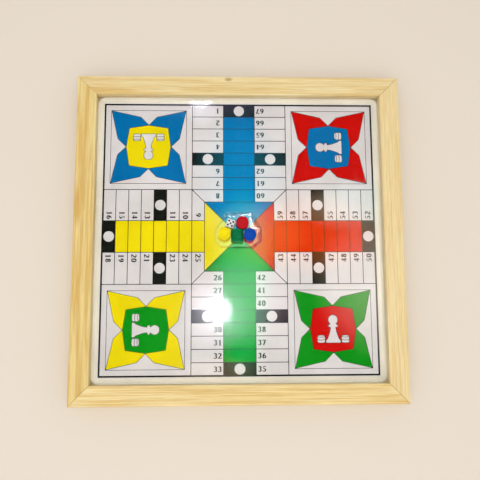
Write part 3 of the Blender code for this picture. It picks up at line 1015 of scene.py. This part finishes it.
material, tree, shader = new_material(
    "Clear film", Base_Color=(0.99, 0.995, 1.0, 1.0), Transmission_Weight=1.0, IOR=1.42
)
vector = object_place(tree)
rub = noise_on(tree, vector, (420.0, 420.0, 420.0), detail=3.0)
tree.links.new(map_range(tree, rub, 0.35, 0.75, 0.05, 0.15), shader["Roughness"])
wrinkle = noise_on(tree, vector, (700.0, 260.0, 500.0), detail=2.0)
add_relief(shader, tree, wrinkle, FILM_RELIEF)
let_shadow_through(material, tree)
bag.data.materials.append(material)
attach(bag, "pouch")
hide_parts("film_pouch")

# Counters
# Sixteen round counters of moulded plastic, four of each colour, with rounded edges and a shallow
# dish inside a raised rim. Three colours are stacked flat, and the green ones lie on their rims.

COUNTER_RIM = 0.0022
COUNTER_DISH = 0.0005
DISH_TAPER = 0.93
DISH_EDGE = COUNTER_RIM / 4
COUNTER_ROUND = 0.0006
COUNTER_SIDES = 72
COUNTER_CORNERS = math.radians(50)
COUNTER_SMOOTH = math.radians(35)
COUNTERS_EACH = 4
SPIN_STEP = math.radians(37)
COUNTER_ROUGH = 0.16
PLASTIC_RELIEF = 0.00001
PLASTICS = {
    "green": (0.002, 0.165, 0.055),
    "blue": (0.001, 0.050, 0.370),
    "yellow": (0.820, 0.660, 0.003),
    "red": (0.470, 0.001, 0.010),
}


def make_plastic_group():
    """Moulded plastic that is handled: a little unevenness and fine rub marks."""
    group, given, sinks = new_group(
        "Handled plastic", [("Plastic", "Color", (1, 1, 1, 1)), ("Rough", "Float", 0.2)]
    )
    cast = noise_on(group, given["Vector"], (180.0, 180.0, 180.0), detail=2.0)
    rub = noise_on(group, given["Vector"], (2600.0, 700.0, 2600.0), detail=3.0, roughness=0.65)
    tone = map_range(group, cast, 0.3, 0.7, 0.90, 1.06)
    worn = calculate(group, "ADD", given["Rough"], map_range(group, rub, 0.35, 0.75, 0.0, 0.22))
    fill_outputs(
        group, sinks, Colour=shaded(group, given["Plastic"], tone), Roughness=worn, Height=rub
    )
    return group


handled_plastic = make_plastic_group()


def make_plastic(name, colour, rough):
    """A glossy moulded plastic in one colour."""
    material, tree, shader = new_material(
        name, IOR=1.5, Specular_IOR_Level=0.12, Coat_Weight=0.04, Coat_Roughness=0.05
    )
    place = object_place(tree)
    made = place_group(tree, handled_plastic, Vector=place, Plastic=(*colour, 1), Rough=rough)
    dress(shader, tree, made, PLASTIC_RELIEF)
    return material


flat_low, flat_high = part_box("red_counter_1")
counter_size = flat_high - flat_low
counter = add_primitive(
    bpy.ops.mesh.primitive_cylinder_add,
    "counter",
    vertices=COUNTER_SIDES,
    radius=counter_size.x / 2,
    depth=counter_size.z,
)
edit(counter, "FACE")
select_faces(lambda middle, up: up.z > 0.9)
bpy.ops.mesh.inset(thickness=COUNTER_RIM)
bpy.ops.mesh.extrude_region_move(TRANSFORM_OT_translate={"value": (0, 0, -COUNTER_DISH)})
bpy.ops.transform.resize(value=(DISH_TAPER, DISH_TAPER, 1.0))
bpy.ops.mesh.inset(thickness=DISH_EDGE)
bpy.ops.mesh.poke()
bpy.ops.object.mode_set(mode="OBJECT")
apply_modifier(
    counter,
    "BEVEL",
    width=COUNTER_ROUND,
    segments=4,
    limit_method="ANGLE",
    angle_limit=COUNTER_CORNERS,
    use_clamp_overlap=True,
)
bpy.ops.object.shade_smooth_by_angle(angle=COUNTER_SMOOTH)
for colour, tone in PLASTICS.items():
    plastic = make_plastic(colour.capitalize() + " plastic", tone, COUNTER_ROUGH)
    for number in range(1, COUNTERS_EACH + 1):
        node = f"{colour}_counter_{number}"
        low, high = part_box(node)
        copy = bpy.data.objects.new(f"{colour}_disc_{number}", counter.data.copy())
        bpy.context.collection.objects.link(copy)
        lying = high.z - low.z > 2 * counter_size.z
        tip = Matrix.Rotation(math.radians(90 if lying else 0), 4, "X")
        spin = Matrix.Rotation(SPIN_STEP * number, 4, "Z")
        copy.data.transform(Matrix.Translation((low + high) / 2) @ tip @ spin)
        copy.data.materials.append(plastic)
        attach(copy, node)
        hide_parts(node)
bpy.data.objects.remove(counter)

# Die
# A 10 mm die of white plastic with rounded edges. Its pips are drilled a little way in and painted
# black, and opposite faces add up to seven.

DIE_EDGE = 0.0100
DIE_ROUND = 0.0013
DIE_TURN = math.radians(-19.0)
DIE_SMOOTH = math.radians(30)
DIE_COLOUR = (0.80, 0.80, 0.79)
DIE_ROUGH = 0.14
PIP_COLOUR = (0.004, 0.004, 0.006)
PIP_ROUGH = 0.30
PIP_RADIUS = 0.00125
PIP_DEPTH = 0.0004
PIP_STEP_SHARE = 0.255
PIP_CORNERS = [(-1, -1), (1, 1), (-1, 1), (1, -1)]
PIP_SIDES = [(-1, 0), (1, 0)]
PIP_MIDDLE = [(0, 0)]
DIE_FACES = [
    ("X", 0, PIP_CORNERS + PIP_MIDDLE),
    ("X", 90, PIP_CORNERS + PIP_SIDES),
    ("X", -90, PIP_MIDDLE),
    ("Y", 90, PIP_CORNERS[:2] + PIP_MIDDLE),
    ("Y", -90, PIP_CORNERS),
    ("X", 180, PIP_CORNERS[:2]),
]

die_low, die_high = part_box("die")
white_plastic = make_plastic("White plastic", DIE_COLOUR, DIE_ROUGH)
pip_paint = make_plastic("Pip paint", PIP_COLOUR, PIP_ROUGH)
die = add_primitive(bpy.ops.mesh.primitive_cube_add, "white_die", size=DIE_EDGE)
apply_modifier(die, "BEVEL", width=DIE_ROUND, segments=6)
die.data.materials.append(white_plastic)
ball = (PIP_RADIUS**2 + PIP_DEPTH**2) / (2 * PIP_DEPTH)
pip_step = PIP_STEP_SHARE * DIE_EDGE
drills = []
for axis, angle, pips in DIE_FACES:
    tip = Matrix.Rotation(math.radians(angle), 4, axis)
    for across, along in pips:
        at = tip @ Vector((across * pip_step, along * pip_step, DIE_EDGE / 2 + ball - PIP_DEPTH))
        drill = add_primitive(
            bpy.ops.mesh.primitive_uv_sphere_add,
            "drill",
            segments=24,
            ring_count=16,
            radius=ball,
            location=at,
        )
        drill.data.materials.append(pip_paint)
        drills.append(drill)
drill = join_pieces(drills[::-1])
bpy.ops.object.transform_apply(location=True, rotation=True, scale=True)
select_only([die])
apply_modifier(
    die,
    "BOOLEAN",
    operation="DIFFERENCE",
    solver="EXACT",
    object=drill,
    material_mode="TRANSFER",
)
bpy.data.objects.remove(drill)
bpy.ops.object.shade_smooth_by_angle(angle=DIE_SMOOTH)
die.data.transform(Matrix.Translation((die_low + die_high) / 2) @ Matrix.Rotation(DIE_TURN, 4, "Z"))
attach(die, "die")
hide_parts("die")

# Floor
# A plain pale cloth-covered table top, wide enough to fill every view.

FLOOR_COLOUR = (0.735, 0.655, 0.570)
WEAVE_COLOUR = (0.58, 0.51, 0.44)
FLOOR_SIZE = 6.0
FLOOR_PLACE = (0, 0, -0.0002)

plane_add = bpy.ops.mesh.primitive_plane_add
floor = add_primitive(plane_add, "table_top", size=FLOOR_SIZE, location=FLOOR_PLACE)
material, tree, shader = new_material("Pale cloth", Specular_IOR_Level=0.1)
weave = noise_on(tree, object_place(tree), (900.0, 900.0, 900.0), detail=2.0)
woven = map_range(tree, weave, 0.3, 0.7, 0.0, 0.06)
cloth = mix_colours(tree, woven, FLOOR_COLOUR, WEAVE_COLOUR)
tree.links.new(cloth, shader["Base Color"])
tree.links.new(map_range(tree, weave, 0.3, 0.7, 0.85, 0.95), shader["Roughness"])
floor.data.materials.append(material)

# Light
# A pale room. A wide soft panel overhead lights the board evenly and isn't seen in the glass. What
# the glass shows is the dim ceiling, paler in places, and two bright lamps on it.

PANEL_SIZE = 2.6
PANEL_PLACE = (-0.06, -0.30, 1.60)
PANEL_POWER = 22.0
PANEL_TINT = (1.0, 0.975, 0.945)
LAMP_SIZE = 0.086
LAMP_PLACE = (-0.042, -0.105, 1.210)
LAMP_POWER = 1.4
LAMP_TINT = (0.90, 0.96, 1.00)
WALLS = (1.0, 0.985, 0.965)
WALLS_FROM = 0.80
WALLS_FULL = 0.58
CEILING = (0.02, 0.02, 0.02)
SHADE_SIDE = -0.16
# Soft patches of the ceiling, each by its middle, its reach, its colour and its strength
CEILING_PATCHES = [
    ((0.032, 0.043), (0.067, 0.200), (0.00, 1.00, 0.43), 2.36),
    ((0.027, 0.004), (0.121, 0.096), (1.00, 0.71, 0.89), 1.68),
    ((0.054, 0.129), (0.109, 0.071), (1.00, 0.72, 0.12), 1.09),
    ((-0.031, 0.369), (0.199, 0.033), (0.61, 0.57, 1.00), 0.56),
    ((0.155, 0.132), (0.145, 0.090), (1.00, 0.23, 0.00), 2.02),
    ((0.236, 0.180), (0.102, 0.052), (0.40, 1.00, 0.88), 1.15),
    ((0.340, 0.038), (0.189, 0.162), (1.00, 0.85, 0.68), 2.12),
    ((-0.020, -0.022), (0.072, 0.076), (0.84, 0.88, 1.00), 2.1),
    ((0.029, 0.228), (0.101, 0.141), (0.00, 0.70, 1.00), 1.25),
    ((-0.019, -0.124), (0.096, 0.030), (1.00, 0.74, 0.48), 1.20),
    ((-0.013, -0.012), (0.034, 0.034), (0.92, 0.96, 1.00), 4.5),
    ((-0.013, -0.011), (0.016, 0.018), (0.95, 0.98, 1.00), 40.0),
    ((-0.042, 0.352), (0.032, 0.028), (0.75, 0.75, 1.00), 1.6),
    ((-0.045, 0.370), (0.025, 0.011), (0.90, 0.90, 1.00), 14.0),
]

world = bpy.data.worlds.new("Room")
bpy.context.scene.world = world
world.use_nodes = True
tree = world.node_tree
direction = add_node(tree, "TexCoord").outputs["Generated"]
aim = add_node(tree, "SeparateXYZ", {"Vector": direction}).outputs
lit = map_range(tree, aim["X"], SHADE_SIDE, 0.0, 0.0, 1.0)
above = mix_colours(tree, lit, (0, 0, 0), CEILING)


def squared_share(value, middle, reach):
    """The square of how far the aim is from a patch's middle, as a share of its reach."""
    share = calculate(tree, "DIVIDE", calculate(tree, "SUBTRACT", value, middle), reach)
    return calculate(tree, "POWER", share, 2.0)


for (x, y), (reach_x, reach_y), colour, strength in CEILING_PATCHES:
    across = squared_share(aim["X"], x, reach_x)
    along = squared_share(aim["Y"], y, reach_y)
    share = map_range(tree, calculate(tree, "ADD", across, along), 1.0, 0.0, 0.0, 1.0)
    patch = [strength * channel for channel in colour]
    above = mix_colours(tree, share, above, patch, "ADD")
low_down = map_range(tree, aim["Z"], WALLS_FROM, WALLS_FULL, 0.0, 1.0)
room = mix_colours(tree, low_down, above, WALLS)
tree.links.new(room, tree.nodes["Background"].inputs["Color"])


def add_lamp(name, place, size, power, tint):
    """A round soft lamp that faces the board and isn't mirrored in anything."""
    light = bpy.data.lights.new(name, "AREA")
    light.shape = "DISK"
    light.size = size
    light.energy = power
    light.color = tint
    lamp = bpy.data.objects.new(name, light)
    lamp.location = place
    lamp.rotation_euler = (-lamp.location).to_track_quat("-Z", "Y").to_euler()
    lamp.visible_glossy = False
    bpy.context.collection.objects.link(lamp)
    return lamp


panel = add_lamp("ceiling_panel", PANEL_PLACE, PANEL_SIZE, PANEL_POWER, PANEL_TINT)
panel.visible_transmission = False
panel.data.cycles.use_multiple_importance_sampling = False
add_lamp("ceiling_lamp", LAMP_PLACE, LAMP_SIZE, LAMP_POWER, LAMP_TINT)

# Camera
# Above the middle of the board and a little towards its near side, as in the photograph.

CAMERA_PLACE = (-0.017158, -0.081952, 0.649163)
CAMERA_TURN = [math.radians(a) for a in (-6.90658, 1.59404, 0.07803)]
FOCAL_PIXELS = 524.889
IMAGE_PIXELS = 480
SENSOR_WIDTH = 36.0

camera_data = bpy.data.cameras.new("camera")
camera_data.sensor_width = SENSOR_WIDTH
camera_data.lens = FOCAL_PIXELS / IMAGE_PIXELS * SENSOR_WIDTH
camera_data.clip_start = 0.01
camera = bpy.data.objects.new("camera", camera_data)
turn = Matrix.Rotation(CAMERA_TURN[2], 3, "Z") @ Matrix.Rotation(CAMERA_TURN[1], 3, "Y")
turn = turn @ Matrix.Rotation(CAMERA_TURN[0], 3, "X")
camera.matrix_world = Matrix.Translation(CAMERA_PLACE) @ turn.transposed().to_4x4()
bpy.context.collection.objects.link(camera)
bpy.context.scene.camera = camera
bpy.context.scene.view_settings.view_transform = "Standard"
